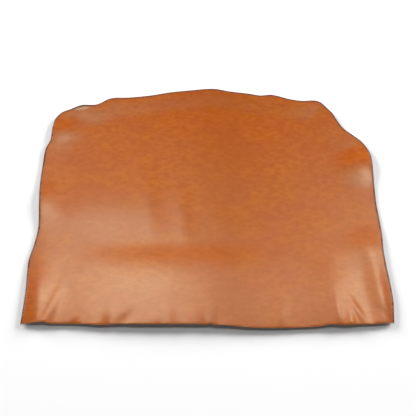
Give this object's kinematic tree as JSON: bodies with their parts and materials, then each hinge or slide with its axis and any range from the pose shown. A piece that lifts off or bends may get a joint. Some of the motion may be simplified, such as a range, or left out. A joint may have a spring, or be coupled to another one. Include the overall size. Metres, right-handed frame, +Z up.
{
  "type": "leather hide",
  "caption": "Double shoulder of tan vegetable-tanned leather laid out flat, with one straight knife-cut edge, a wavy natural edge, soft ripples and a smooth satin grain side.",
  "frame": {"origin": "under the middle of the hide's bounding box, on the surface that it lies on", "axes": "+X along the straight knife cut, +Y from the cut to the neck edge, +Z up out of the grain side"},
  "size_m": [1.4176, 1.1492, 0.0188],
  "materials": {
    "grain_leather": "satin"
  },
  "bodies": {
    "root": {"hide": "grain_leather"}
  },
  "joints": []
}
